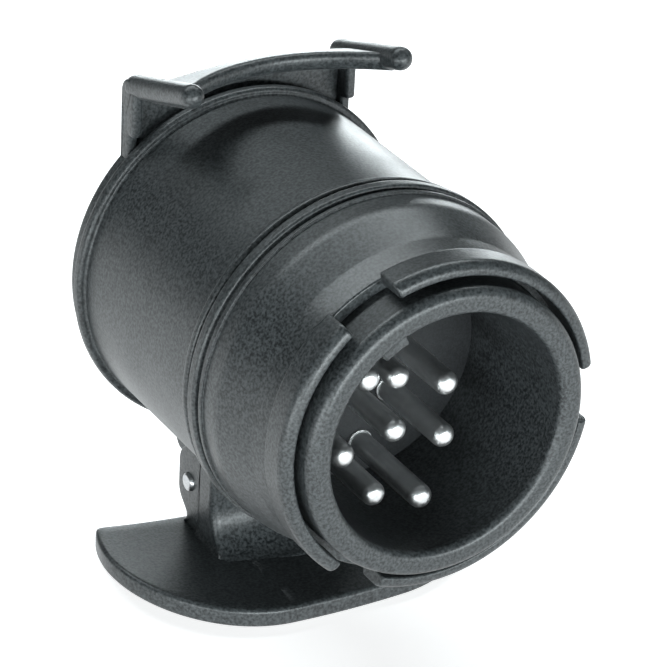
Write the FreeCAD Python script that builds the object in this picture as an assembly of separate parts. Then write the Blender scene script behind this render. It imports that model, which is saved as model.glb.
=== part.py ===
import FreeCAD, Part
import math
import os

# Short 13-way to 7-way trailer wiring adapter.
# Frame: the plug's axis is Y. The plug's rim lies in the plane Y = 0 and faces -Y, the 7-way
# socket and its sprung lid face +Y, +Z is up, and X is to the right seen from the plug.

# Plug collar and contact carrier (turn together about Y)
COLLAR_R = 22.0
COLLAR_BORE_R = 18.2
COLLAR_LENGTH = 28.0
RIM_ROUND = 1.5
MOUTH_ROUND = 1.0
KEY_ANGLE = 120.0
KEY_HALF_ANGLE = 7.0
KEY_HEIGHT = 2.0
KEY_SETBACK = 1.4
SHOULDER_R = 23.2
SHOULDER_START = 20.6
SHOULDER_WIDTH = 2.0
SEAL_START = 14.0
SEAL_WIDTH = 2.2
SEAL_DEPTH = 1.3
CARRIER_FACE = 24.0
CARRIER_FLANGE = 2.0
CARRIER_FLANGE_R = 20.6

# Plug pins
PIN_R = 1.75
PIN_TIP_ROUND = 1.2
PIN_SHANK_R = 1.95
PIN_SHANK = 0.3
PIN_HEAD_R = 2.2
PIN_HEAD = 0.8
PIN_TAIL_R = 1.5
PIN_TAIL = 3.0
OUTER_TIP = 5.8
INNER_TIP = 7.6
INNER_LEFT_X = -3.5
INNER_RIGHT_X = 4.5
INNER_LEFT_Z = 1.5
INNER_RIGHT_Z = -1.2
INNER_SPACING = 8.3
OUTER_CIRCLE_R = 13.2
OUTER_ANGLES = (-88.7, -124.3, -164.3)
KEYWAY_TIP = 7.6
KEYWAY_PIN_R = 10.4
KEYWAY_PIN_ANGLE = 142.2

# Front shell with its three bayonet lugs
LUG_R = 25.0
LUG_BORE_R = 23.0
LUG_START = 2.0
LUG_END = 7.0
LUG_ROUND = 1.5
LUG_GAP = 20.0
LUG_COUNT = 3
EDGE_ROUND = 0.5
NECK_R = 23.9
SHELL_R = 26.5
SHELL_TAPER_END = 19.5
BEAD_R = 26.9
BEAD_START = 21.9
BEAD_END = 22.8
BAND_R = 27.3
BAND_START = 23.4
FRONT_SHELL_END = 25.3
FRONT_WALL = 2.0
GASKET_R = 26.4
GASKET_WIDTH = 0.8

# Rear shell and its flange
REAR_BAND_R = 27.0
REAR_BAND = 1.3
BODY_R = 26.0
BODY_BORE_R = 23.2
FLANGE_START = 59.8
FLANGE_END = 61.6
FLANGE_R = 27.2
FLANGE_ROUND = 0.7
SPIGOT_WALL = 1.7
LEDGE_START = 42.0
LEDGE_END = 46.0
LEDGE_BORE_R = 16.6

# Seven-way socket insert
INSERT_BASE = 3.0
TOWER_R = 16.5
TOWER_END = 58.0
SLEEVE_BORE_R = 2.55
SLEEVE_WALL = 0.75
SLEEVE_SHOULDER_R = 4.1
SLEEVE_SHOULDER = 1.5
SLEEVE_TAIL_R = 1.5
SLEEVE_TAIL = 4.0
SLEEVE_RECESS = 0.6
SLEEVE_CIRCLE_R = 10.3
SLEEVE_DEPTH = 10.0
LEAD_R = 0.9
LEAD_STRAIGHT = 1.4
LEAD_PAIRS = ((0, 1), (1, 0), (2, 6), (3, 5), (4, 4), (5, 3), (7, 2))
SCREW_CIRCLE_R = 19.9
SCREW_COUNT = 3
SCREW_HEAD_R = 2.2
SCREW_HEAD = 1.5
SCREW_R = 1.2
SCREW_LENGTH = 5.5
SCREW_SLOT = 0.7

# Finger plate, its neck and the hinge ears
PLATE_DISC_R = 20.0
PLATE_DISC_X = 9.5
PLATE_DISC_Y = 43.5
PLATE_REAR = 53.4
PLATE_TOP = -38.5
PLATE_THICKNESS = 3.0
PLATE_CORNER_R = 1.5
PLATE_CURVE_R = 167.0
PLATE_EDGE_ROUND = 0.7
NECK_HALF_WIDTH = 12.8
NECK_FRONT = 43.0
NECK_FRONT_FILLET = 7.0
NECK_WAIST_Y = 50.9
NECK_WAIST_Z = -36.3
HINGE_Y = 50.5
HINGE_Z = -30.6
BARREL_R = 3.6
EAR_WIDTH = 4.6
PIN_LENGTH = 26.8
HINGE_PIN_R = 1.5
HINGE_PIN_ROUND = 0.6

# Lid, its arm and its thumb grip
LID_R = 26.2
LID_START = 61.9
LID_THICKNESS = 2.8
LID_DOME = 1.0
LID_RIM_WIDTH = 3.0
LID_ROUND = 1.0
LID_GASKET_R = 25.0
LID_GASKET_BORE_R = 21.8
LID_GASKET_DEPTH = 1.2
ARM_HALF_WIDTH = 7.9
ARM_TOP = -27.6
ARM_BOTTOM = -32.6
ARM_SLOT_HALF = 3.8
ARM_SLOT_END = 57.0
KNUCKLE_R = 3.2
GRIP_X = 16.9
GRIP_R = 1.75
GRIP_TIP_Y = 45.8
GRIP_TIP_Z = 34.9
GRIP_ROOT_Y = 62.5
GRIP_ROOT_Z = 29.65
CHEEK_WIDTH = 1.6
CHEEK_START = 60.4
CHEEK_BASE_Z = 22.4
WALL_START = 63.2
WALL_BASE_Z = 15.0
WALL_TOP_Z = 28.0
BRIDGE_THICKNESS = 2.8
BRIDGE_DROP = 0.7
BRIDGE_ROUND = 1.1
BRIDGE_ARCH_R = 93.0
BRIDGE_REAR_Y = 58.5
BRIDGE_WAIST_Y = 54.3
BRIDGE_FRONT_Y = 46.8
HOOK_HALF_WIDTH = 4.0
HOOK_REACH = 4.0
HOOK_TOP_Z = 21.2
HOOK_HEIGHT = 3.0

# Lid spring
SPRING_WIRE_R = 0.35
SPRING_R = 2.4
SPRING_TURNS = 5.0
SPRING_PITCH = 1.1
SPRING_LEG_IN = 6.0
SPRING_LEG_OUT = 9.0

# Clearances
RUNNING = 0.08
SEAT = 0.05
SHELL_GAP = 0.3
HINGE_GAP = 0.3
PRESS = 0.02

ALONG = FreeCAD.Vector(0, 1, 0)
RIGHT = FreeCAD.Vector(1, 0, 0)


def rod(radius, start, end, x=0.0, z=0.0):
    """A round bar along Y."""
    return Part.makeCylinder(radius, end - start, FreeCAD.Vector(x, start, z), ALONG)


def tube(outer, inner, start, end, x=0.0, z=0.0):
    """A round tube along Y."""
    return rod(outer, start, end, x, z).cut(rod(inner, start, end, x, z))


def turned(points):
    """A closed outline of (radius, y) points turned about the Y axis."""
    corners = [FreeCAD.Vector(radius, y, 0) for radius, y in points]
    outline = Part.makePolygon(corners + corners[:1])
    return Part.Face(outline).revolve(FreeCAD.Vector(0, 0, 0), ALONG, 360)


def cross_bar(radius, half_length, y, z):
    """A round bar along X, centred on X = 0."""
    return Part.makeCylinder(radius, 2 * half_length, FreeCAD.Vector(-half_length, y, z), RIGHT)


def block(x0, x1, y0, y1, z0, z1):
    """A rectangular block between two corners."""
    return Part.makeBox(x1 - x0, y1 - y0, z1 - z0, FreeCAD.Vector(x0, y0, z0))


def sector(radius, start, end, middle, half_angle):
    """A wedge about the Y axis, centred on an angle measured from +X towards +Z."""
    upright = FreeCAD.Vector(0, 0, 1)
    wedge = Part.makeCylinder(radius, end - start, FreeCAD.Vector(0, 0, 0), upright, 2 * half_angle)
    wedge.rotate(FreeCAD.Vector(0, 0, 0), upright, middle - half_angle)
    wedge.rotate(FreeCAD.Vector(0, 0, 0), RIGHT, 90)
    wedge.translate(FreeCAD.Vector(0, end, 0))
    return wedge


def polar(radius, angle):
    """X and Z of a point on a circle about the Y axis."""
    turn = math.radians(angle)
    return radius * math.cos(turn), radius * math.sin(turn)


def circle_edges(shape, radius, y):
    """Edges of the shape that are circles about the Y axis of this radius at this y."""
    found = []
    for edge in shape.Edges:
        if isinstance(edge.Curve, Part.Circle):
            centre = edge.Curve.Center
            on_axis = abs(centre.x) < 0.01 and abs(centre.z) < 0.01
            if on_axis and abs(centre.y - y) < 0.01 and abs(edge.Curve.Radius - radius) < 0.01:
                found.append(edge)
    return found


def pin_places():
    """X, Z and tip position of each fitted plug pin: two inner columns, then the outer arc."""
    places = []
    for x, middle in ((INNER_LEFT_X, INNER_LEFT_Z), (INNER_RIGHT_X, INNER_RIGHT_Z)):
        for side in (1, -1):
            places.append((x, middle + side * INNER_SPACING / 2, INNER_TIP))
    for angle in OUTER_ANGLES:
        x, z = polar(OUTER_CIRCLE_R, angle)
        places.append((x, z, OUTER_TIP))
    x, z = polar(KEYWAY_PIN_R, KEYWAY_PIN_ANGLE)
    places.append((x, z, KEYWAY_TIP))
    return places


def sleeve_places():
    """X and Z of each socket sleeve: one in the centre, then six around it."""
    places = [(0.0, 0.0)]
    for sixth in range(6):
        places.append(polar(SLEEVE_CIRCLE_R, 90.0 + 60.0 * sixth))
    return places


def plug_collar():
    collar = tube(COLLAR_R, COLLAR_BORE_R, 0, COLLAR_LENGTH)
    collar = collar.makeFillet(RIM_ROUND, circle_edges(collar, COLLAR_R, 0))
    collar = collar.makeFillet(MOUTH_ROUND, circle_edges(collar, COLLAR_BORE_R, 0))
    shoulder = tube(SHOULDER_R, COLLAR_BORE_R + 1.0, SHOULDER_START, SHOULDER_START + SHOULDER_WIDTH)
    collar = collar.fuse(shoulder)
    groove = tube(COLLAR_R + 1.0, COLLAR_R - SEAL_DEPTH, SEAL_START, SEAL_START + SEAL_WIDTH)
    collar = collar.cut(groove)
    key = sector(COLLAR_BORE_R + 1.0, KEY_SETBACK, CARRIER_FACE, KEY_ANGLE, KEY_HALF_ANGLE)
    key = key.cut(rod(COLLAR_BORE_R - KEY_HEIGHT, KEY_SETBACK, CARRIER_FACE))
    return collar.fuse(key).removeSplitter()


def collar_seal():
    outer = COLLAR_R + RUNNING / 2
    return tube(outer, COLLAR_R - SEAL_DEPTH, SEAL_START, SEAL_START + SEAL_WIDTH)


def contact_carrier():
    carrier = rod(COLLAR_BORE_R - SEAT, CARRIER_FACE, COLLAR_LENGTH)
    carrier = carrier.fuse(rod(CARRIER_FLANGE_R, COLLAR_LENGTH, COLLAR_LENGTH + CARRIER_FLANGE))
    for x, z, _ in pin_places():
        carrier = carrier.cut(rod(PIN_SHANK_R + SEAT, CARRIER_FACE, COLLAR_LENGTH + CARRIER_FLANGE, x, z))
    return carrier.removeSplitter()


def plug_pin(x, z, tip):
    back = COLLAR_LENGTH + CARRIER_FLANGE
    pin = rod(PIN_R, tip, back, x, z)
    front_edges = [edge for edge in pin.Edges if edge.BoundBox.YMax < tip + 0.01]
    pin = pin.makeFillet(PIN_TIP_ROUND, front_edges)
    shank = rod(PIN_SHANK_R, CARRIER_FACE - PIN_SHANK, back, x, z)
    head = rod(PIN_HEAD_R, back, back + PIN_HEAD, x, z)
    tail = rod(PIN_TAIL_R, back + PIN_HEAD, back + PIN_HEAD + PIN_TAIL, x, z)
    return pin.fuse(shank).fuse(head).fuse(tail).removeSplitter()


def front_shell():
    bore = COLLAR_R + RUNNING
    pocket = SHOULDER_R + SHELL_GAP
    pocket_start = SHOULDER_START - SHELL_GAP
    counterbore = SHELL_R - FRONT_WALL
    outline = [
        (LUG_BORE_R, LUG_START),
        (LUG_R, LUG_START),
        (LUG_R, LUG_END),
        (NECK_R, LUG_END),
        (SHELL_R, SHELL_TAPER_END),
        (SHELL_R, BEAD_START),
        (BEAD_R, BEAD_START),
        (BEAD_R, BEAD_END),
        (SHELL_R, BEAD_END),
        (SHELL_R, BAND_START),
        (BAND_R, BAND_START),
        (BAND_R, FRONT_SHELL_END),
        (counterbore, FRONT_SHELL_END),
        (counterbore, SHOULDER_START + SHOULDER_WIDTH),
        (pocket, SHOULDER_START + SHOULDER_WIDTH),
        (pocket, pocket_start),
        (bore, pocket_start),
        (bore, LUG_END),
        (LUG_BORE_R, LUG_END),
    ]
    shell = turned(outline)
    shell = shell.makeFillet(LUG_ROUND, circle_edges(shell, LUG_R, LUG_START))
    edges = circle_edges(shell, LUG_R, LUG_END) + circle_edges(shell, BAND_R, BAND_START)
    shell = shell.makeFillet(EDGE_ROUND, edges + circle_edges(shell, BAND_R, FRONT_SHELL_END))
    for number in range(LUG_COUNT):
        gap = sector(LUG_R + 1.0, LUG_START - 1.0, LUG_END, 360.0 * number / LUG_COUNT, LUG_GAP / 2)
        shell = shell.cut(gap.cut(rod(COLLAR_R, LUG_START - 1.0, LUG_END)))
    return shell


def shell_gasket():
    return tube(GASKET_R, SHELL_R - FRONT_WALL, FRONT_SHELL_END, FRONT_SHELL_END + GASKET_WIDTH)


def rear_shell():
    start = FRONT_SHELL_END + GASKET_WIDTH
    band_end = start + REAR_BAND
    spigot_r = SHELL_R - FRONT_WALL - SEAT
    shell = rod(REAR_BAND_R, start, band_end).fuse(rod(BODY_R, band_end, FLANGE_END))
    shell = shell.fuse(rod(FLANGE_R, FLANGE_START, FLANGE_END))
    edges = circle_edges(shell, REAR_BAND_R, start) + circle_edges(shell, REAR_BAND_R, band_end)
    shell = shell.makeFillet(EDGE_ROUND, edges)
    shell = shell.makeFillet(FLANGE_ROUND, circle_edges(shell, FLANGE_R, FLANGE_START))
    shell = shell.fuse(rod(spigot_r, SHOULDER_START + SHOULDER_WIDTH + SHELL_GAP, start))
    shell = shell.cut(rod(spigot_r - SPIGOT_WALL, 0, band_end))
    shell = shell.cut(rod(BODY_BORE_R, band_end, LEDGE_START))
    shell = shell.cut(rod(LEDGE_BORE_R, LEDGE_START, LEDGE_END))
    shell = shell.cut(rod(BODY_BORE_R, LEDGE_END, FLANGE_END))
    for x, z in screw_places():
        shell = shell.cut(rod(SCREW_R + PRESS, LEDGE_START, LEDGE_END, x, z))
    return shell.removeSplitter()


def screw_places():
    """X and Z of each screw that holds the socket insert."""
    return [polar(SCREW_CIRCLE_R, 30.0 + 360.0 * n / SCREW_COUNT) for n in range(SCREW_COUNT)]


def finger_plate():
    """Curved plate under the body, its neck and the hinge ears, in one moulding."""
    plate = plate_slab().common(plate_plan())
    rims = [edge for edge in plate.Edges if not is_upright(edge)]
    plate = plate.makeFillet(PLATE_EDGE_ROUND, rims)
    plate = plate.fuse(hinge_neck())
    plate = plate.cut(arm_way()).cut(rod(BODY_R, 0, FLANGE_START))
    return plate.removeSplitter()


def is_upright(edge):
    """True for a straight edge along Z."""
    box = edge.BoundBox
    return box.XLength < 0.01 and box.YLength < 0.01


def plate_slab():
    """Plate's thickness, curved about an axis along Y so that its sides rise."""
    centre_z = PLATE_TOP + PLATE_CURVE_R
    reach = PLATE_REAR + 1.0
    under = Part.makeCylinder(PLATE_CURVE_R + PLATE_THICKNESS, reach, FreeCAD.Vector(0, 0, centre_z), ALONG)
    upper = Part.makeCylinder(PLATE_CURVE_R, reach, FreeCAD.Vector(0, 0, centre_z), ALONG)
    return under.cut(upper)


def plate_plan():
    """Plate's outline seen from above, as an upright prism: two discs, the room between, a cut rear."""
    low = PLATE_TOP - 2 * PLATE_THICKNESS
    height = 4 * PLATE_THICKNESS
    upright = FreeCAD.Vector(0, 0, 1)
    front = PLATE_DISC_Y - PLATE_DISC_R
    plan = block(-PLATE_DISC_X, PLATE_DISC_X, front, PLATE_REAR, low, low + height)
    for x in (-PLATE_DISC_X, PLATE_DISC_X):
        centre = FreeCAD.Vector(x, PLATE_DISC_Y, low)
        plan = plan.fuse(Part.makeCylinder(PLATE_DISC_R, height, centre, upright))
    half_width = PLATE_DISC_X + PLATE_DISC_R
    plan = plan.common(block(-half_width, half_width, front, PLATE_REAR, low, low + height))
    plan = plan.removeSplitter()
    rear = [edge for edge in plan.Edges if is_upright(edge) and edge.BoundBox.YMin > PLATE_REAR - 0.01]
    return plan.makeFillet(PLATE_CORNER_R, rear)


def hinge_neck():
    """Neck between the body and the plate: hinge barrel at its rear, hollowed front face."""
    base = PLATE_TOP - PLATE_THICKNESS / 2
    foot = NECK_FRONT - NECK_FRONT_FILLET
    points = [
        (PLATE_REAR - PLATE_EDGE_ROUND, base),
        (PLATE_REAR - PLATE_EDGE_ROUND, PLATE_TOP),
        (NECK_WAIST_Y, NECK_WAIST_Z),
        (HINGE_Y + BARREL_R, HINGE_Z),
        (HINGE_Y + BARREL_R, HINGE_Z + BARREL_R),
        (HINGE_Y, -BODY_BORE_R),
        (NECK_FRONT, -BODY_BORE_R),
        (NECK_FRONT, PLATE_TOP + NECK_FRONT_FILLET),
        (foot, PLATE_TOP),
        (foot, base),
    ]
    corners = [FreeCAD.Vector(-NECK_HALF_WIDTH, y, z) for y, z in points]
    outline = Part.makePolygon(corners + corners[:1])
    neck = Part.Face(outline).extrude(FreeCAD.Vector(2 * NECK_HALF_WIDTH, 0, 0))
    scoop = cross_bar(NECK_FRONT_FILLET, NECK_HALF_WIDTH, foot, PLATE_TOP + NECK_FRONT_FILLET)
    crown = [edge for edge in neck.Edges if is_crown(edge)]
    neck = neck.makeFillet(BARREL_R * 0.8, crown)
    neck = neck.fuse(cross_bar(BARREL_R, NECK_HALF_WIDTH, HINGE_Y, HINGE_Z))
    return neck.cut(scoop)


def is_crown(edge):
    """True for the neck's two edges along X at the barrel's height and above."""
    box = edge.BoundBox
    across = box.YLength < 0.01 and box.ZLength < 0.01
    return across and box.YMin > HINGE_Y + BARREL_R - 0.01


def arm_way():
    """Room between the ears for the lid's knuckles and for the arm as the lid swings down."""
    half = NECK_HALF_WIDTH - EAR_WIDTH
    way = cross_bar(KNUCKLE_R + HINGE_GAP, half, HINGE_Y, HINGE_Z)
    front = HINGE_Y + (ARM_BOTTOM - HINGE_Z) - HINGE_GAP
    low = PLATE_TOP - PLATE_THICKNESS - 1.0
    way = way.fuse(block(-half, half, front, PLATE_REAR + 10, low, HINGE_Z))
    way = way.fuse(block(-half, half, HINGE_Y, PLATE_REAR + 10, HINGE_Z - 0.1, -10))
    leg_x = -SPRING_TURNS * SPRING_PITCH / 2
    leg_end = HINGE_Y - SPRING_LEG_IN - SEAT
    way = way.fuse(rod(SPRING_WIRE_R + SEAT, leg_end, HINGE_Y, leg_x, HINGE_Z - SPRING_R))
    return way.fuse(cross_bar(HINGE_PIN_R + PRESS, NECK_HALF_WIDTH + 1.0, HINGE_Y, HINGE_Z))


def hinge_pin():
    pin = cross_bar(HINGE_PIN_R, PIN_LENGTH / 2, HINGE_Y, HINGE_Z)
    rims = [edge for edge in pin.Edges if isinstance(edge.Curve, Part.Circle)]
    return pin.makeFillet(HINGE_PIN_ROUND, rims)


def lid_spring():
    """Torsion spring round the hinge pin: one leg in the neck, the other under the lid's arm."""
    half = SPRING_TURNS * SPRING_PITCH / 2
    low = HINGE_Z - SPRING_R
    steps = 20
    path = [FreeCAD.Vector(-half, HINGE_Y - SPRING_LEG_IN * part, low) for part in (1.0, 0.6, 0.2)]
    for step in range(int(SPRING_TURNS) * steps + 1):
        turn = step / steps
        y, z = polar(SPRING_R, -90.0 + 360.0 * turn)
        path.append(FreeCAD.Vector(turn * SPRING_PITCH - half, HINGE_Y + y, HINGE_Z + z))
    path.extend(FreeCAD.Vector(half, HINGE_Y + SPRING_LEG_OUT * part, low) for part in (0.2, 0.6, 1.0))
    centre_line = Part.BSplineCurve()
    centre_line.interpolate(path)
    section = Part.Wire([Part.makeCircle(SPRING_WIRE_R, path[0], ALONG)])
    return Part.Wire([centre_line.toShape()]).makePipeShell([section], True, False)


def socket_insert():
    end = LEDGE_END + INSERT_BASE
    insert = rod(BODY_BORE_R - SEAT, LEDGE_END, end).fuse(rod(TOWER_R, end, TOWER_END))
    mouth = circle_edges(insert, TOWER_R, TOWER_END)
    insert = insert.makeFillet(EDGE_ROUND, mouth)
    for x, z in sleeve_places():
        insert = insert.cut(rod(SLEEVE_BORE_R + SLEEVE_WALL + SEAT, LEDGE_END, TOWER_END, x, z))
    for x, z in screw_places():
        insert = insert.cut(rod(SCREW_R + SEAT, LEDGE_END, end, x, z))
    return insert.removeSplitter()


def socket_contact(x, z):
    mouth = TOWER_END - SLEEVE_RECESS
    sleeve = rod(SLEEVE_BORE_R + SLEEVE_WALL, LEDGE_END, mouth, x, z)
    sleeve = sleeve.fuse(rod(SLEEVE_SHOULDER_R, LEDGE_END - SLEEVE_SHOULDER, LEDGE_END, x, z))
    tail_end = LEDGE_END - SLEEVE_SHOULDER
    sleeve = sleeve.fuse(rod(SLEEVE_TAIL_R, tail_end - SLEEVE_TAIL, tail_end, x, z))
    return sleeve.cut(rod(SLEEVE_BORE_R, mouth - SLEEVE_DEPTH, mouth, x, z)).removeSplitter()


def lead(start, end):
    """An insulated wire with a short straight run at each end."""
    front = COLLAR_LENGTH + CARRIER_FLANGE + PIN_HEAD + PIN_TAIL
    back = LEDGE_END - SLEEVE_SHOULDER - SLEEVE_TAIL
    bend_a = FreeCAD.Vector(start[0], front + LEAD_STRAIGHT, start[1])
    bend_b = FreeCAD.Vector(end[0], back - LEAD_STRAIGHT, end[1])
    wire = rod(LEAD_R, front, front + LEAD_STRAIGHT, *start)
    span = bend_b - bend_a
    wire = wire.fuse(Part.makeSphere(LEAD_R, bend_a))
    wire = wire.fuse(Part.makeCylinder(LEAD_R, span.Length, bend_a, span))
    wire = wire.fuse(Part.makeSphere(LEAD_R, bend_b))
    return wire.fuse(rod(LEAD_R, back - LEAD_STRAIGHT, back, *end))


def insert_screws():
    base = LEDGE_END + INSERT_BASE
    screws = []
    for x, z in screw_places():
        screw = rod(SCREW_HEAD_R, base, base + SCREW_HEAD, x, z)
        screw = screw.fuse(rod(SCREW_R, base - SCREW_LENGTH, base, x, z))
        top = base + SCREW_HEAD
        slot = SCREW_SLOT / 2
        depth = SCREW_HEAD * 0.6
        reach = SCREW_HEAD_R * 0.7
        screw = screw.cut(block(x - slot, x + slot, top - depth, top, z - reach, z + reach))
        screws.append(screw.cut(block(x - reach, x + reach, top - depth, top, z - slot, z + slot)))
    return Part.makeCompound(screws)


def lid_cover():
    back = LID_START + LID_THICKNESS
    lid = rod(LID_R, LID_START, back)
    lid = lid.makeFillet(LID_ROUND, circle_edges(lid, LID_R, back))
    dome_rim_r = LID_R - LID_RIM_WIDTH
    ball_r = (dome_rim_r**2 + LID_DOME**2) / (2 * LID_DOME)
    ball = Part.makeSphere(ball_r, FreeCAD.Vector(0, back + LID_DOME - ball_r, 0))
    lid = lid.fuse(ball.common(rod(dome_rim_r + 1.0, LID_START + LID_GASKET_DEPTH, back + LID_DOME + 1.0)))
    lid = lid.fuse(lid_arm()).fuse(lid_grip()).fuse(plug_hook())
    lid = lid.cut(tube(LID_GASKET_R, LID_GASKET_BORE_R, LID_START - 0.5, LID_START + LID_GASKET_DEPTH))
    knuckle_bore = cross_bar(HINGE_PIN_R + RUNNING, ARM_HALF_WIDTH + 1.0, HINGE_Y, HINGE_Z)
    return lid.cut(knuckle_bore).removeSplitter()


def lid_arm():
    half = ARM_HALF_WIDTH
    back = LID_START + LID_THICKNESS
    arm = block(-half, half, HINGE_Y, back, ARM_BOTTOM, ARM_TOP)
    arm = arm.fuse(block(-half, half, LID_START, back, ARM_BOTTOM, -LID_GASKET_BORE_R))
    arm = arm.fuse(cross_bar(KNUCKLE_R, half, HINGE_Y, HINGE_Z))
    low_rear = [
        edge
        for edge in arm.Edges
        if edge.BoundBox.YMin > back - 0.01 and edge.BoundBox.ZMax < ARM_BOTTOM + 0.01
    ]
    arm = arm.makeFillet(LID_THICKNESS * 0.8, low_rear)
    slot = block(-ARM_SLOT_HALF, ARM_SLOT_HALF, HINGE_Y - BARREL_R, ARM_SLOT_END, HINGE_Z - BARREL_R, -20)
    return arm.cut(slot)


def grip_rail(x):
    """One round-ended rail of the thumb grip, rising towards its tip."""
    root = FreeCAD.Vector(x, GRIP_ROOT_Y, GRIP_ROOT_Z)
    tip = FreeCAD.Vector(x, GRIP_TIP_Y, GRIP_TIP_Z)
    span = tip - root
    rail = Part.makeCylinder(GRIP_R, span.Length, root, span)
    return rail.fuse(Part.makeSphere(GRIP_R, root)).fuse(Part.makeSphere(GRIP_R, tip))


def lid_grip():
    """Thumb grip: two rails, the web between them, and the wall and cheeks that carry them."""
    grip = grip_rail(GRIP_X).fuse(grip_rail(-GRIP_X)).fuse(grip_web())
    half = GRIP_X + CHEEK_WIDTH
    back = LID_START + LID_THICKNESS
    grip = grip.fuse(block(-half, half, WALL_START, back, WALL_BASE_Z, WALL_TOP_Z))
    for left in (-half, GRIP_X):
        right = left + CHEEK_WIDTH
        grip = grip.fuse(block(left, right, CHEEK_START, back, CHEEK_BASE_Z, GRIP_ROOT_Z))
        grip = grip.fuse(block(left, right, LID_START, back, WALL_BASE_Z, CHEEK_BASE_Z))
    return grip


def grip_web():
    """Arched web between the rails: a slab along them, cut to a plan with a hollowed front edge."""
    rise = (GRIP_TIP_Z - GRIP_ROOT_Z) / (GRIP_ROOT_Y - GRIP_TIP_Y)
    sagitta = BRIDGE_ARCH_R - math.sqrt(BRIDGE_ARCH_R**2 - GRIP_X**2)
    middle = GRIP_ROOT_Z - BRIDGE_DROP
    arcs = []
    for level in (middle + BRIDGE_THICKNESS / 2, middle - BRIDGE_THICKNESS / 2):
        left = FreeCAD.Vector(-GRIP_X, GRIP_ROOT_Y, level)
        crown = FreeCAD.Vector(0, GRIP_ROOT_Y, level + sagitta)
        right = FreeCAD.Vector(GRIP_X, GRIP_ROOT_Y, level)
        arcs.append(Part.Arc(left, crown, right).toShape())
    sides = [Part.makeLine(arcs[0].Vertexes[end].Point, arcs[1].Vertexes[end].Point) for end in (0, 1)]
    section = Part.Face(Part.Wire(Part.__sortEdges__(arcs + sides)))
    length = GRIP_ROOT_Y - GRIP_TIP_Y
    slab = section.extrude(FreeCAD.Vector(0, -length, length * rise))
    slab = slab.common(grip_plan())
    rounded = [edge for edge in slab.Edges if is_lip(edge)]
    return slab.makeFillet(BRIDGE_ROUND, rounded)


def is_lip(edge):
    """True for the web's front and rear edges, which run from rail to rail."""
    return edge.BoundBox.XLength > 2 * GRIP_X - 0.01


def grip_plan():
    """Plan of the web as an upright prism: straight behind, hollowed in front."""
    low = GRIP_ROOT_Z - GRIP_X
    near_left = FreeCAD.Vector(-GRIP_X, BRIDGE_FRONT_Y, low)
    near_right = FreeCAD.Vector(GRIP_X, BRIDGE_FRONT_Y, low)
    far_left = FreeCAD.Vector(-GRIP_X, BRIDGE_REAR_Y, low)
    far_right = FreeCAD.Vector(GRIP_X, BRIDGE_REAR_Y, low)
    waist = FreeCAD.Vector(0, BRIDGE_WAIST_Y, low)
    edges = [
        Part.Arc(near_left, waist, near_right).toShape(),
        Part.makeLine(near_right, far_right),
        Part.makeLine(far_right, far_left),
        Part.makeLine(far_left, near_left),
    ]
    plan = Part.Face(Part.Wire(Part.__sortEdges__(edges)))
    return plan.extrude(FreeCAD.Vector(0, 0, 3 * GRIP_X))


def plug_hook():
    """Nose inside the lid that holds an inserted plug."""
    low = HOOK_TOP_Z - HOOK_HEIGHT
    return block(-HOOK_HALF_WIDTH, HOOK_HALF_WIDTH, LID_START - HOOK_REACH, LID_START + 1.0, low, HOOK_TOP_Z)


def lid_gasket():
    inner = LID_GASKET_BORE_R + SEAT
    outer = LID_GASKET_R - SEAT
    return tube(outer, inner, FLANGE_END + SEAT, LID_START + LID_GASKET_DEPTH)


def save(name, shape):
    shape.exportStep(os.path.join("parts", name + ".step"))


def main():
    os.makedirs("parts", exist_ok=True)
    save("plug_collar", plug_collar())
    save("collar_seal", collar_seal())
    save("contact_carrier", contact_carrier())
    save("front_shell", front_shell())
    save("shell_gasket", shell_gasket())
    save("rear_shell", rear_shell())
    save("finger_plate", finger_plate())
    save("hinge_pin", hinge_pin())
    save("lid_spring", lid_spring())
    save("socket_insert", socket_insert())
    save("insert_screws", insert_screws())
    save("lid_cover", lid_cover())
    save("lid_gasket", lid_gasket())
    pins = pin_places()
    sleeves = sleeve_places()
    for number, (x, z, tip) in enumerate(pins, 1):
        save("plug_pin_%d" % number, plug_pin(x, z, tip))
    for number, (x, z) in enumerate(sleeves, 1):
        save("socket_contact_%d" % number, socket_contact(x, z))
    for number, (pin, sleeve) in enumerate(LEAD_PAIRS, 1):
        save("lead_%d" % number, lead(pins[pin][:2], sleeves[sleeve]))


main()
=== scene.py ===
import math

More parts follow.
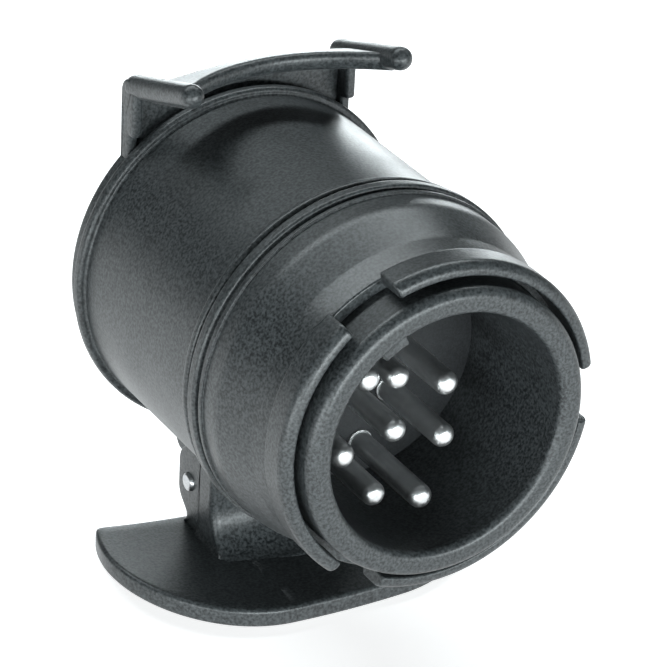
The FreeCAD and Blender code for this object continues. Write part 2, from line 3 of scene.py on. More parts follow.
import bmesh
import bpy
import numpy as np
from mathutils import Matrix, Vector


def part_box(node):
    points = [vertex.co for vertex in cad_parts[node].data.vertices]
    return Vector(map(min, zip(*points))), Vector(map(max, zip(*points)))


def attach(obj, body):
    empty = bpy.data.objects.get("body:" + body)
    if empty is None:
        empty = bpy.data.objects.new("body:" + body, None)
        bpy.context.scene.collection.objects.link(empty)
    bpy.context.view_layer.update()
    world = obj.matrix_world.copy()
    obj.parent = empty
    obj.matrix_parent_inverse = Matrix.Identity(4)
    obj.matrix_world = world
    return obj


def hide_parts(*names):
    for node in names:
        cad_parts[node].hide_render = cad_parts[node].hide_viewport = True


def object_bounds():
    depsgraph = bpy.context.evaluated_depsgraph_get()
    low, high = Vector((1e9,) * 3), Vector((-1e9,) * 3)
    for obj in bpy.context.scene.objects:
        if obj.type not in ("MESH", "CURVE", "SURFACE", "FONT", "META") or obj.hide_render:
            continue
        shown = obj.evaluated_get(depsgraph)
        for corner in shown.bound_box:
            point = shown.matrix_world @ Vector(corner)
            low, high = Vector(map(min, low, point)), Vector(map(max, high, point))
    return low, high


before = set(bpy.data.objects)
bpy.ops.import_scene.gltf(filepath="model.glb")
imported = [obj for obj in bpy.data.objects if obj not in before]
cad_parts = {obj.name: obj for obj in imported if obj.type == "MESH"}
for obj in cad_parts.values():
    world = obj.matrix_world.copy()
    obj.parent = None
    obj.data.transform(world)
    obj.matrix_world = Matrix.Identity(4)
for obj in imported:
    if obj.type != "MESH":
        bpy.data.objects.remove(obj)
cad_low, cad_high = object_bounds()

# Camera: looks at the plug from its left and from above, with a long lens.
view_right = (0.86934, -0.49203, 0.04639)
view_up = (0.19248, 0.42353, 0.88520)
view_back = (-0.45520, -0.76061, 0.46290)
camera = bpy.data.objects.new("camera", bpy.data.cameras.new("camera"))
camera.data.sensor_width = 36.0
camera.data.lens = 188.9
camera.data.clip_start = 0.01
camera.matrix_world = Matrix(
    [[view_right[k], view_up[k], view_back[k], (-0.22816, -0.34901, 0.23241)[k]] for k in range(3)]
    + [[0, 0, 0, 1]]
)
bpy.context.collection.objects.link(camera)
bpy.context.scene.camera = camera


# Bayonet shell: the tapered front half of the housing, moulded in black glass-filled plastic.
# A turned wall ends in a bead and a band at the back; in front it carries three bayonet lugs.
MM = 0.001


def rounded(corners, radii, steps=7, lead=0.06):
    """Closed outline whose corners are circular arcs.

    Each corner's arc runs between its two tangent points, turning the first radius vector into
    the second one at an even rate; a point a little way along each straight side follows it.
    """
    p = np.asarray(corners, float)
    r = np.broadcast_to(np.asarray(radii, float), len(p))[:, None]
    a = np.roll(p, 1, axis=0) - p
    b = np.roll(p, -1, axis=0) - p
    a /= np.linalg.norm(a, axis=1, keepdims=True)
    b /= np.linalg.norm(b, axis=1, keepdims=True)
    half = np.arccos(np.clip((a * b).sum(1, keepdims=True), -1, 1)) / 2
    reach = r / np.tan(half)
    bisector = a + b
    bisector /= np.linalg.norm(bisector, axis=1, keepdims=True) + 1e-12
    centre = p + bisector * r / np.sin(half)
    start, end = p + a * reach - centre, p + b * reach - centre
    turn = np.pi - 2 * half
    t = np.linspace(0, 1, steps)[None, :, None]
    arc = np.sin((1 - t) * turn[:, None]) * start[:, None] + np.sin(t * turn[:, None]) * end[:, None]
    arc = centre[:, None] + arc / np.sin(turn)[:, None]
    before = (p + a * (reach + lead))[:, None]
    after = (p + b * (reach + lead))[:, None]
    return np.concatenate([before, arc, after], axis=1).reshape(-1, 2)


def strip_faces(rows, columns, wrap_rows=False, wrap_columns=True):
    """Quads of a grid of rows x columns points, closed round in either direction."""
    i = np.arange(rows if wrap_rows else rows - 1)[:, None]
    j = np.arange(columns if wrap_columns else columns - 1)[None, :]
    i2, j2 = (i + 1) % rows, (j + 1) % columns
    quads = np.stack([i * columns + j, i * columns + j2, i2 * columns + j2, i2 * columns + j], axis=-1)
    return quads.reshape(-1, 4)


def lathe(outline, steps=256, x=0.0, z=0.0):
    """Surface of revolution about a line along Y: (r, y) goes to (r cos a, y, r sin a)."""
    turn = np.linspace(0, 2 * np.pi, steps, endpoint=False)[:, None]
    r, y = np.asarray(outline, float).T
    along = np.broadcast_to(y, (steps, len(y)))
    points = np.stack([x + r * np.cos(turn), along, z + r * np.sin(turn)], axis=-1)
    return points.reshape(-1, 3), strip_faces(steps, len(y), wrap_rows=True)


def skin(rings):
    """Closed skin over a stack of closed rings; both end rings shrink to their middle points."""
    rings = np.asarray(rings, float)
    shrink = np.array([0.0, 0.35, 0.7])[:, None, None]
    first = rings[0].mean(0) + (rings[0] - rings[0].mean(0)) * shrink
    last = rings[-1].mean(0) + (rings[-1] - rings[-1].mean(0)) * shrink[::-1]
    rings = np.concatenate([first, rings, last])
    return rings.reshape(-1, 3), strip_faces(len(rings), rings.shape[1])


def piece(name, body, nodes, parts, material):
    """One mesh from closed parts, in metres, with doubled points merged and faces outward."""
    offsets = np.cumsum([0] + [len(points) for points, _ in parts])
    points = np.concatenate([points for points, _ in parts]) * MM
    faces = np.concatenate([quads + offset for (_, quads), offset in zip(parts, offsets)])
    mesh = bpy.data.meshes.new(name)
    mesh.from_pydata(points.tolist(), [], faces.tolist())
    work = bmesh.new()
    work.from_mesh(mesh)
    bmesh.ops.remove_doubles(work, verts=work.verts, dist=2e-7)
    bmesh.ops.recalc_face_normals(work, faces=work.faces)
    work.to_mesh(mesh)
    work.free()
    mesh.shade_smooth()
    mesh.materials.append(material)
    made = bpy.data.objects.new(name, mesh)
    bpy.context.collection.objects.link(made)
    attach(made, body)
    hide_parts(*nodes)
    return made


def grain_group():
    """Moulded grain: fine speckle and slow clouds, as a colour mask, a roughness mask and a height."""
    group = bpy.data.node_groups.new("moulded_grain", "ShaderNodeTree")
    face = group.interface
    face.new_socket("Vector", in_out="INPUT", socket_type="NodeSocketVector")
    for name, value in (("Grain Scale", 3600.0), ("Cloud Scale", 60.0), ("Contrast", 0.5)):
        socket = face.new_socket(name, in_out="INPUT", socket_type="NodeSocketFloat")
        socket.default_value = value
    for name in ("Speckle", "Clouds", "Height"):
        face.new_socket(name, in_out="OUTPUT", socket_type="NodeSocketFloat")
    nodes, links = group.nodes, group.links
    given, out = nodes.new("NodeGroupInput"), nodes.new("NodeGroupOutput")
    fine = nodes.new("ShaderNodeTexNoise")
    fine.inputs["Detail"].default_value = 3.0
    slow = nodes.new("ShaderNodeTexNoise")
    slow.inputs["Detail"].default_value = 4.0
    for noise, scale in ((fine, "Grain Scale"), (slow, "Cloud Scale")):
        links.new(given.outputs["Vector"], noise.inputs["Vector"])
        links.new(given.outputs[scale], noise.inputs["Scale"])
    spread = nodes.new("ShaderNodeMapRange")
    spread.inputs["From Min"].default_value = 0.35
    spread.inputs["From Max"].default_value = 0.65
    links.new(fine.outputs["Fac"], spread.inputs["Value"])
    cloud = nodes.new("ShaderNodeMapRange")
    cloud.inputs["From Min"].default_value = 0.3
    cloud.inputs["From Max"].default_value = 0.7
    links.new(slow.outputs["Fac"], cloud.inputs["Value"])
    scaled = nodes.new("ShaderNodeMath")
    scaled.operation = "MULTIPLY"
    links.new(spread.outputs["Result"], scaled.inputs[0])
    links.new(given.outputs["Contrast"], scaled.inputs[1])
    links.new(scaled.outputs["Value"], out.inputs["Speckle"])
    links.new(cloud.outputs["Result"], out.inputs["Clouds"])
    links.new(fine.outputs["Fac"], out.inputs["Height"])
    return group


moulded_grain = grain_group()


def moulded(name, dark, light, rough, rough_cloud, bump, contrast=0.6, grain=3600.0):
    """Moulded plastic or rubber: grain mixes two shades, clouds vary the roughness."""
    material = bpy.data.materials.new(name)
    material.use_nodes = True
    nodes, links = material.node_tree.nodes, material.node_tree.links
    shader = nodes["Principled BSDF"]
    place = nodes.new("ShaderNodeTexCoord")
    group = nodes.new("ShaderNodeGroup")
    group.node_tree = moulded_grain
    group.inputs["Grain Scale"].default_value = grain
    group.inputs["Contrast"].default_value = contrast
    links.new(place.outputs["Object"], group.inputs["Vector"])
    tint = nodes.new("ShaderNodeMix")
    tint.data_type = "RGBA"
    tint.inputs["A"].default_value = (*dark, 1)
    tint.inputs["B"].default_value = (*light, 1)
    links.new(group.outputs["Speckle"], tint.inputs["Factor"])
    links.new(tint.outputs["Result"], shader.inputs["Base Color"])
    polish = nodes.new("ShaderNodeMapRange")
    polish.inputs["To Min"].default_value = rough
    polish.inputs["To Max"].default_value = rough + rough_cloud
    links.new(group.outputs["Clouds"], polish.inputs["Value"])
    links.new(polish.outputs["Result"], shader.inputs["Roughness"])
    relief = nodes.new("ShaderNodeBump")
    relief.inputs["Strength"].default_value = bump
    relief.inputs["Distance"].default_value = 0.00004
    links.new(group.outputs["Height"], relief.inputs["Height"])
    links.new(relief.outputs["Normal"], shader.inputs["Normal"])
    return material


shell_plastic = moulded(
    "satin_black_plastic", (0.010, 0.012, 0.013), (0.072, 0.080, 0.083), 0.34, 0.10, 0.50, 0.8, 2400.0
)

shell_outline = rounded(
    [
        (22.08, 7.0),
        (23.9, 7.0),
        (24.6, 11.5),
        (26.5, 18.2),
        (26.5, 21.9),
        (26.9, 21.9),
        (26.9, 22.8),
        (26.35, 22.8),
        (26.35, 23.4),
        (27.3, 23.4),
        (27.3, 25.3),
        (24.5, 25.3),
        (24.5, 22.6),
        (23.5, 22.6),
        (23.5, 20.3),
        (22.08, 20.3),
    ],
    [0.2, 0.3, 4.0, 6.0, 0.12, 0.18, 0.28, 0.15, 0.15, 0.45, 0.45, 0.1, 0.1, 0.1, 0.1, 0.1],
)
shell_parts = [lathe(shell_outline)]
# Each lug spans 100 degrees between gaps of 20; its ends shrink a little over the first millimetre.
LUG_MIDDLE_R = 24.0
LUG_START_ANGLE = 10.0
LUG_SPAN = 100.0
LUG_PITCH = 120.0
lug_section = rounded([(23.0, 2.0), (25.0, 2.0), (25.0, 7.1), (23.0, 7.3)], [0.35, 1.45, 0.45, 0.2])
section_middle = lug_section.mean(0)
end_run = np.array([0.0, 0.05, 0.17, 0.33, 0.5])
end_shrink = np.array([0.5, 0.25, 0.1, 0.02, 0.0]) / 2.4
half_run = np.concatenate([end_run, np.linspace(1.0, 20.9, 30)])
half_shrink = np.concatenate([end_shrink, np.zeros(30)])
shrink = np.concatenate([half_shrink, half_shrink[::-1]])[:, None, None]
ring = section_middle + (lug_section - section_middle) * (1 - shrink)
for lug in range(3):
    first = LUG_START_ANGLE + LUG_PITCH * lug
    angles = first + np.degrees(half_run / LUG_MIDDLE_R)
    angles = np.concatenate([angles, 2 * first + LUG_SPAN - angles[::-1]])
    turn = np.radians(angles)[:, None]
    lug_rings = np.stack([ring[..., 0] * np.cos(turn), ring[..., 1], ring[..., 0] * np.sin(turn)], axis=-1)
    shell_parts.append(skin(lug_rings))
piece("bayonet_shell", "housing", ["front_shell"], shell_parts, shell_plastic)


# Body shell: the rear half of the housing, the same plastic. A plain tube with a band at the
# front joint, a flange at the socket's mouth and an inner ledge for the socket insert.
body_outline = rounded(
    [
        (24.45, 22.9),
        (24.45, 26.1),
        (27.0, 26.1),
        (27.0, 27.4),
        (26.0, 27.4),
        (26.0, 59.8),
        (27.2, 59.8),
        (27.2, 61.6),
        (23.2, 61.6),
        (23.2, 46.0),
        (16.6, 46.0),
        (16.6, 42.0),
        (23.2, 42.0),
        (23.2, 27.4),
        (22.75, 27.4),
        (22.75, 22.9),
    ],
    [0.1, 0.1, 0.5, 0.5, 0.35, 0.4, 0.6, 0.6, 0.4, 0.3, 0.3, 0.3, 0.3, 0.1, 0.1, 0.1],
)
piece("body_shell", "housing", ["rear_shell"], [lathe(body_outline)], shell_plastic)


# Finger plate: a curved slab with a neck and two hinge ears, moulded in one with the body.
# The slab is stacked from offset outlines, so that its edge is rounded all the way round.
PLATE_TOP = -38.5
PLATE_THICKNESS = 3.0
PLATE_EDGE = 0.7
PLATE_CURVE_R = 167.0
DISC_R = 20.0
DISC_X = 9.5
DISC_Y = 43.5
PLATE_REAR = 53.4
NOTCH_HALF = 8.2
NOTCH_REAR = 48.2


def plate_rows(inset):
    """Front and rear rows of the slab's outline, moved inward by the inset.

    The ends are discs of 20 mm radius; the rear row is the lower of disc and straight cut, the
    two blended as half their sum less the root of half their difference squared plus 0.1.
    """
    radius = DISC_R - inset
    half = DISC_X + radius
    notch = NOTCH_HALF + inset
    share = np.sin(np.linspace(0, np.pi / 2, 60))
    side = np.concatenate([[0.0], np.linspace(0, notch, 6)[1:], notch + (half - notch) * share])
    x = np.concatenate([-side[::-1], side[1:]])
    over = np.clip(np.abs(x) - DISC_X, 0, radius)
    sweep = np.sqrt(radius**2 - over**2)
    front = DISC_Y - sweep
    disc, cut = DISC_Y + sweep, PLATE_REAR - inset
    rear = np.maximum((disc + cut) / 2 - np.sqrt(((disc - cut) / 2) ** 2 + 0.1), front)
    index = np.arange(len(side))
    in_notch = np.concatenate([(index <= 5)[::-1], (index <= 5)[1:]])
    rear = np.where(in_notch, NOTCH_REAR - inset, rear)
    return x, front, rear


def plate_height(x, depth):
    """Height at a depth below the slab's top, which is a cylinder of large radius along Y."""
    return PLATE_TOP + PLATE_CURVE_R - np.sqrt((PLATE_CURVE_R + depth) ** 2 - x**2)


bend = np.linspace(0, np.pi / 2, 6)
edge_in = PLATE_EDGE * (1 - np.sin(bend))
edge_down = PLATE_EDGE * (1 - np.cos(bend))
insets = np.concatenate([edge_in, edge_in[::-1]])
depths = np.concatenate([edge_down, PLATE_THICKNESS - edge_down[::-1]])
rings = []
for inset, depth in zip(insets, depths):
    x, front, rear = plate_rows(inset)
    x_loop = np.concatenate([x, x[::-1]])
    y_loop = np.concatenate([front, rear[::-1]])
    rings.append(np.stack([x_loop, y_loop, plate_height(x_loop, depth)], axis=-1))
rings = np.array(rings)
slab_parts = [(rings.reshape(-1, 3), strip_faces(len(rings), rings.shape[1]))]
for depth in (0.0, PLATE_THICKNESS):
    x, front, rear = plate_rows(PLATE_EDGE)
    across = np.linspace(0, 1, 14)[:, None]
    y = front + (rear - front) * across
    level = np.broadcast_to(plate_height(x, depth), y.shape)
    grid = np.stack([np.broadcast_to(x, y.shape), y, level], axis=-1)
    slab_parts.append((grid.reshape(-1, 3), strip_faces(*y.shape, wrap_columns=False)))
slab_points = np.concatenate([points for points, _ in slab_parts])
slab_offsets = np.cumsum([0] + [len(points) for points, _ in slab_parts])
slab_faces = np.concatenate([faces + offset for (_, faces), offset in zip(slab_parts, slab_offsets)])

# The neck flares out by a small fillet at its foot, and its front face is hollowed by a large one.
NECK_HALF = 12.8
FOOT_FILLET = 1.8
FRONT_FILLET = 7.0
foot = PLATE_TOP + FOOT_FILLET * (1 - np.cos(bend))[1:]
height = np.concatenate([np.linspace(-39.3, PLATE_TOP, 3), foot, np.linspace(-36.2, -23.4, 34)])
lift = np.clip(height - PLATE_TOP, 0, None)
drop = np.clip(FOOT_FILLET**2 - (FOOT_FILLET - lift) ** 2, 0, None)
flare = np.where(lift < FOOT_FILLET, FOOT_FILLET - np.sqrt(drop), 0.0)
scoop = np.clip(height - PLATE_TOP - FRONT_FILLET, -FRONT_FILLET, 0.0)
neck_front = 36.0 + np.sqrt(FRONT_FILLET**2 - scoop**2)
neck_rings = []
for z, wide, near in zip(height, flare, neck_front):
    side = NECK_HALF + wide
    section = rounded([(-side, near), (side, near), (side, 47.6), (-side, 47.6)], [1.2, 1.2, 0.2, 0.2])
    neck_rings.append(np.column_stack([section, np.full(len(section), z)]))


def prism(outline, low, high, edge=0.4, centre=None):
    """Outline in the Y-Z plane carried along X, its end edges rounded by quarter circles."""
    outline = np.asarray(outline, float)
    tangent = np.roll(outline, -1, axis=0) - np.roll(outline, 1, axis=0)
    normal = np.stack([tangent[:, 1], -tangent[:, 0]], axis=-1)
    normal /= np.linalg.norm(normal, axis=1, keepdims=True) + 1e-12
    area = (outline[:, 0] * np.roll(outline[:, 1], -1) - np.roll(outline[:, 0], -1) * outline[:, 1]).sum()
    normal *= np.sign(area)
    curve = np.linspace(0, np.pi / 2, 5)
    x = np.concatenate([low + edge * (1 - np.cos(curve)), high - edge * (1 - np.cos(curve[::-1]))])
    inset = np.concatenate([edge * (1 - np.sin(curve)), edge * (1 - np.sin(curve[::-1]))])
    middle = outline.mean(0) if centre is None else np.asarray(centre, float)
    flat = outline[None] - normal[None] * inset[:, None, None]
    shrink = np.array([0.0, 0.35, 0.7])[:, None, None]
    first = middle + (flat[0] - middle) * shrink
    last = middle + (flat[-1] - middle) * shrink[::-1]
    flat = np.concatenate([first, flat, last])
    x = np.concatenate([np.full(3, low), x, np.full(3, high)])
    rings = np.concatenate([np.broadcast_to(x[:, None, None], (*flat.shape[:2], 1)), flat], axis=-1)
    return rings.reshape(-1, 3), strip_faces(len(rings), rings.shape[1])


ear = rounded(
    [
        (46.8, -39.0),
        (52.7, -39.0),
        (52.9, -38.6),
        (50.9, -36.6),
        (54.1, -33.8),
        (54.1, -27.0),
        (50.5, -23.4),
        (46.8, -23.4),
    ],
    [0.1, 0.05, 0.05, 0.8, 3.2, 2.9, 0.3, 0.1],
)
EAR_INNER = 8.2
EAR_CENTRE = (48.0, -35.5)
finger_parts = [
    (slab_points, slab_faces),
    skin(neck_rings),
    prism(ear, -NECK_HALF, -EAR_INNER, centre=EAR_CENTRE),
    prism(ear, EAR_INNER, NECK_HALF, centre=EAR_CENTRE),
]
piece("finger_rest", "housing", ["finger_plate"], finger_parts, shell_plastic)


# Plug skirt: the turning collar of the plug, in the same black plastic, with a rounded rim, the
# seal groove, the shoulder that keeps it in the shell and the key rib inside its bore.
skirt_outline = rounded(
    [
        (18.2, 0.0),
        (22.0, 0.0),
        (22.0, 14.0),
        (20.7, 14.0),
        (20.7, 16.2),
        (22.0, 16.2),
        (22.0, 20.6),
        (23.2, 20.6),
        (23.2, 22.6),
        (22.0, 22.6),
        (22.0, 28.0),
        (18.2, 28.0),
    ],
    [1.1, 1.5, 0.1, 0.1, 0.1, 0.1, 0.1, 0.2, 0.2, 0.1, 0.2, 0.2],
)
key_angles = np.radians(np.linspace(113.0, 127.0, 15))
key_edge = np.concatenate(
    [
        np.stack([18.5 * np.cos(key_angles), 18.5 * np.sin(key_angles)], axis=-1),
        np.stack([16.2 * np.cos(key_angles[::-1]), 16.2 * np.sin(key_angles[::-1])], axis=-1),
    ]
)
key_middle = key_edge.mean(0)
key_y = np.array([1.4, 1.45, 1.6, 1.9, 12.0, 24.0])
key_size = np.array([0.80, 0.88, 0.96, 1.0, 1.0, 1.0])
key_rings = [
    np.column_stack([middle[:, 0], np.full(len(middle), y), middle[:, 1]])
    for y, middle in ((y, key_middle + (key_edge - key_middle) * size) for y, size in zip(key_y, key_size))
]
piece(
    "plug_skirt",
    "plug_core",
    ["plug_collar"],
    [lathe(skirt_outline), skin(key_rings)],
    shell_plastic,
)


# Plug pins: turned pins with rounded tips, nickel-plated. Each has a head behind the carrier
# and a short tail for its wire.
def plated(name, tint, rough, spread, scratch):
    """Plated or bare metal: grain varies its roughness, clouds its shade."""
    material = bpy.data.materials.new(name)
    material.use_nodes = True
    nodes, links = material.node_tree.nodes, material.node_tree.links
    shader = nodes["Principled BSDF"]
    shader.inputs["Metallic"].default_value = 1.0
    place = nodes.new("ShaderNodeTexCoord")
    group = nodes.new("ShaderNodeGroup")
    group.node_tree = moulded_grain
    group.inputs["Grain Scale"].default_value = 1500.0
    group.inputs["Cloud Scale"].default_value = 300.0
    group.inputs["Contrast"].default_value = 1.0
    links.new(place.outputs["Object"], group.inputs["Vector"])
    shade = nodes.new("ShaderNodeMix")
    shade.data_type = "RGBA"
    shade.inputs["A"].default_value = (*[c * 0.8 for c in tint], 1)
    shade.inputs["B"].default_value = (*tint, 1)
    links.new(group.outputs["Clouds"], shade.inputs["Factor"])
    links.new(shade.outputs["Result"], shader.inputs["Base Color"])
    polish = nodes.new("ShaderNodeMapRange")
    polish.inputs["To Min"].default_value = rough
    polish.inputs["To Max"].default_value = rough + spread
    links.new(group.outputs["Speckle"], polish.inputs["Value"])
    links.new(polish.outputs["Result"], shader.inputs["Roughness"])
    relief = nodes.new("ShaderNodeBump")
    relief.inputs["Strength"].default_value = scratch
    relief.inputs["Distance"].default_value = 0.00002
    links.new(group.outputs["Height"], relief.inputs["Height"])
    links.new(relief.outputs["Normal"], shader.inputs["Normal"])
    return material


nickel = plated("pin_nickel", (0.86, 0.87, 0.87), 0.30, 0.14, 0.05)
for number in range(1, 9):
    low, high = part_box("plug_pin_%d" % number)
    x, z = 500 * (low[0] + high[0]), 500 * (low[2] + high[2])
    tip, back = low[1] * 1000, high[1] * 1000
    pin_outline = rounded(
        [
            (0.0, tip),
            (1.75, tip),
            (1.75, 23.7),
            (1.95, 23.7),
            (1.95, 30.0),
            (2.2, 30.0),
            (2.2, 30.8),
            (1.5, 30.8),
            (1.5, back),
            (0.0, back),
        ],
        [0.001, 1.35, 0.03, 0.03, 0.03, 0.03, 0.1, 0.05, 0.2, 0.001],
        steps=12,
    )
    pin_outline[:, 0] = np.clip(pin_outline[:, 0], 0, None)
    piece(
        "plug_contact_%d" % number,
        "plug_core",
        ["plug_pin_%d" % number],
        [lathe(pin_outline, 48, x, z)],
        nickel,
    )


# Pin carrier and socket insert: the insulating blocks that hold the contacts, dull black plastic.
insert_plastic = moulded("dull_black_plastic", (0.010, 0.011, 0.012), (0.030, 0.033, 0.036), 0.45, 0.15, 0.3)
for node in ("contact_carrier", "socket_insert"):
    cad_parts[node].data.materials.clear()
    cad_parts[node].data.materials.append(insert_plastic)


# Rubber seals: the ring in the skirt's groove, the thin one between the shells, the lid's ring.
rubber = moulded("seal_rubber", (0.008, 0.008, 0.008), (0.020, 0.020, 0.020), 0.55, 0.15, 0.3)
for node in ("collar_seal", "shell_gasket", "lid_gasket"):
    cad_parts[node].data.materials.clear()
    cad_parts[node].data.materials.append(rubber)


# Hinge pin, return spring and insert screws: plain drawn steel.
steel = plated("plain_steel", (0.56, 0.57, 0.58), 0.25, 0.15, 0.1)
for node in ("hinge_pin", "lid_spring", "insert_screws"):
    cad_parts[node].data.materials.clear()
    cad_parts[node].data.materials.append(steel)


# Socket sleeves: turned brass. Leads: wires in soft plastic covers, one colour for each circuit.
brass = plated("sleeve_brass", (0.78, 0.60, 0.30), 0.22, 0.12, 0.08)
lead_colours = [
    (0.55, 0.42, 0.03),
    (0.03, 0.08, 0.30),
    (0.60, 0.60, 0.58),
    (0.03, 0.22, 0.06),
    (0.22, 0.09, 0.03),
    (0.40, 0.03, 0.02),
    (0.02, 0.02, 0.02),
]
for number, colour in enumerate(lead_colours, 1):
    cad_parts["socket_contact_%d" % number].data.materials.clear()
    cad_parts["socket_contact_%d" % number].data.materials.append(brass)
    pale = tuple(min(1.0, channel * 1.2 + 0.01) for channel in colour)
    cover = moulded("lead_cover_%d" % number, colour, pale, 0.40, 0.10, 0.1)
    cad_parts["lead_%d" % number].data.materials.clear()
    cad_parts["lead_%d" % number].data.materials.append(cover)


# Lid: a domed flap with a gasket groove, its arm and knuckles below, and its thumb grip above.
# All one moulding in the black plastic. The dome rises by the square of its radius, over 1 mm.
LID_BACK = 64.7
DOME_R = 23.2
DOME_RISE = 1.0
ARM_HALF = 7.9
SLOT_HALF = 3.8
HOOK_HALF = 4.0
WALL_HALF = 18.4
GRIP_X = 16.9
CHEEK_OUTER = 18.5
CHEEK_CENTRE = (63.3, 24.0)
dome_r = np.linspace(DOME_R, 0.0, 24)
dome = np.column_stack([dome_r, LID_BACK + DOME_RISE * (1 - dome_r**2 / DOME_R**2)])
flap_rim = rounded(
    [
        (0.0, 61.9),
        (21.8, 61.9),
        (21.8, 63.1),
        (25.0, 63.1),
        (25.0, 61.9),
        (26.2, 61.9),
        (26.2, 64.7),
        (23.4, 64.7),
        (0.0, 64.7),
    ],
    [0.001, 0.1, 0.1, 0.1, 0.1, 0.3, 1.0, 0.3, 0.001],
)
points_per_corner = len(flap_rim) // 9
flap_rim = np.concatenate([flap_rim[: 8 * points_per_corner], dome])
flap_rim[:, 0] = np.clip(flap_rim[:, 0], 0, None)
arm = rounded(
    [(57.0, -32.6), (64.6, -32.6), (64.6, -21.8), (61.9, -21.8), (61.9, -27.6), (57.0, -27.6)],
    [0.3, 2.2, 0.3, 0.3, 0.6, 0.3],
)
knuckle = rounded(
    [(47.3, -33.8), (51.0, -33.8), (52.6, -32.6), (57.4, -32.6), (57.4, -27.6), (47.3, -27.4)],
    [3.15, 1.0, 1.0, 0.1, 0.1, 3.1],
)
hook = rounded([(57.9, 18.2), (62.5, 18.2), (62.5, 21.2), (57.9, 21.2)], [0.6, 0.2, 0.2, 1.2])
wall = rounded([(63.2, 15.0), (64.6, 15.0), (64.6, 28.0), (63.2, 28.0)], [0.2, 0.2, 0.5, 0.5])
cheek = rounded(
    [(60.4, 22.4), (61.9, 22.4), (61.9, 15.0), (64.55, 15.0), (64.55, 31.0), (60.4, 31.0)],
    [0.6, 0.3, 0.2, 0.2, 2.2, 0.3],
)
lid_parts = [
    lathe(flap_rim),
    prism(arm, -ARM_HALF, ARM_HALF, centre=(62.5, -30.0)),
    prism(knuckle, -ARM_HALF, -SLOT_HALF),
    prism(knuckle, SLOT_HALF, ARM_HALF),
    prism(hook, -HOOK_HALF, HOOK_HALF),
    prism(wall, -WALL_HALF, WALL_HALF),
    prism(cheek, -CHEEK_OUTER, -GRIP_X, edge=0.5, centre=CHEEK_CENTRE),
    prism(cheek, GRIP_X, CHEEK_OUTER, edge=0.5, centre=CHEEK_CENTRE),
]
# Grip rails: round bars with ball ends, from root to tip in the Y-Z plane.
GRIP_R = 1.75
grip_root = np.array([62.5, 29.65])
grip_span = np.array([45.8, 34.9]) - grip_root
rail_length = math.hypot(*grip_span)
ahead = grip_span / rail_length
quarter = np.linspace(0, np.pi / 2, 10)
middle_run = np.linspace(0, rail_length, 24)[1:-1]
run = np.concatenate([-GRIP_R * np.cos(quarter), middle_run, rail_length + GRIP_R * np.sin(quarter)])
past_ends = np.clip(-run, 0, None) ** 2 + np.clip(run - rail_length, 0, None) ** 2
swell = np.sqrt(np.clip(GRIP_R**2 - past_ends, 0, None))[:, None]
around = np.linspace(0, 2 * np.pi, 40, endpoint=False)
for x in (-GRIP_X, GRIP_X):
    out_x = x + swell * np.cos(around)
    up = swell * np.sin(around)
    rail_y = grip_root[0] + run[:, None] * ahead[0] + up * ahead[1]
    rail_z = grip_root[1] + run[:, None] * ahead[1] - up * ahead[0]
    lid_parts.append(skin(np.stack([out_x, rail_y, rail_z], axis=-1)))
# Web: arched from rail to rail, sloping with them, its front edge a hollow arc seen from above.
WEB_REAR = 58.5
WEB_HALF = 1.4
WEB_SIDE_LEVEL = 28.95
WEB_CROWN = 1.55
HOLLOW_R = 22.79
HOLLOW_Y = 31.51
rise = -grip_span[1] / grip_span[0]
web_rings = []
for x in np.linspace(-GRIP_X, GRIP_X, 61):
    web_front = HOLLOW_Y + math.sqrt(HOLLOW_R**2 - x**2)
    corners = [(web_front, -WEB_HALF), (WEB_REAR, -WEB_HALF), (WEB_REAR, WEB_HALF), (web_front, WEB_HALF)]
    section = rounded(corners, 1.25)
    level = WEB_SIDE_LEVEL + WEB_CROWN * (1 - (x / GRIP_X) ** 2) + (grip_root[0] - section[:, 0]) * rise
    web_rings.append(np.column_stack([np.full(len(section), x), section[:, 0], level + section[:, 1]]))
lid_parts.append(skin(web_rings))
piece("lid_flap", "lid", ["lid_cover"], lid_parts, shell_plastic)


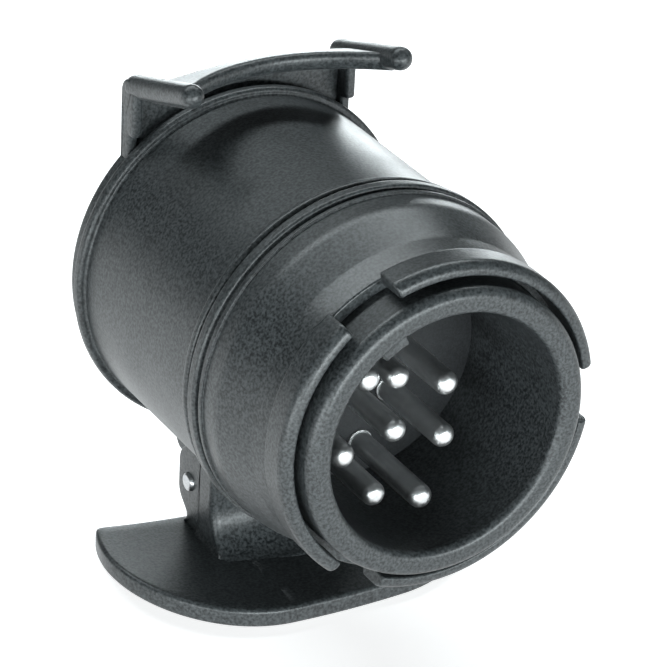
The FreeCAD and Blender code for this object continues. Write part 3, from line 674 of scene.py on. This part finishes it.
# Floor and light: a pale table under soft studio panels.
floor_z = cad_low[2]
floor_mesh = bpy.data.meshes.new("floor")
floor_half = 3.0
floor_corners = [(-1, -1), (1, -1), (1, 1), (-1, 1)]
floor_points = [(x * floor_half, y * floor_half, floor_z) for x, y in floor_corners]
floor_mesh.from_pydata(floor_points, [], [(0, 1, 2, 3)])
floor = bpy.data.objects.new("floor", floor_mesh)
bpy.context.collection.objects.link(floor)
paper = bpy.data.materials.new("pale_paper")
paper.use_nodes = True
paper_shader = paper.node_tree.nodes["Principled BSDF"]
paper_shader.inputs["Base Color"].default_value = (0.9, 0.9, 0.9, 1)
paper_shader.inputs["Roughness"].default_value = 0.9
paper_shader.inputs["Specular IOR Level"].default_value = 0.0
paper_shader.inputs["Emission Color"].default_value = (1, 1, 1, 1)
paper_shader.inputs["Emission Strength"].default_value = 0.75
floor_mesh.materials.append(paper)

world = bpy.data.worlds.new("studio")
world.use_nodes = True
world.node_tree.nodes["Background"].inputs["Color"].default_value = (0.9, 0.98, 1.0, 1)
world.node_tree.nodes["Background"].inputs["Strength"].default_value = 0.06
bpy.context.scene.world = world


def panel(name, place, target, width, height, power):
    """Rectangular soft light at a place, facing a target."""
    data = bpy.data.lights.new(name, "AREA")
    data.shape = "RECTANGLE"
    data.size, data.size_y = width, height
    data.energy = power
    data.color = (0.90, 0.98, 1.0)
    light = bpy.data.objects.new(name, data)
    back = np.subtract(place, target)
    back = back / np.linalg.norm(back)
    side = np.cross((0, 0, 1), back)
    side = side / np.linalg.norm(side)
    rise_axis = np.cross(back, side)
    light.matrix_world = Matrix(
        [[side[k], rise_axis[k], back[k], place[k]] for k in range(3)] + [[0, 0, 0, 1]]
    )
    bpy.context.collection.objects.link(light)


panel("left_panel", (-0.55, -0.35, -0.12), (0, 0.03, 0), 0.45, 0.30, 10.0)
panel("rear_panel", (0.42, 0.78, 0.02), (0, 0.03, 0), 0.50, 0.14, 2.8)
panel("top_panel", (0.06, 0.38, 0.62), (0, 0.03, 0), 1.10, 0.12, 5.0)
panel("front_panel", (0.05, -0.78, 0.03), (0, 0, 0), 0.7, 0.13, 7.0)

bpy.context.scene.view_settings.view_transform = "Standard"
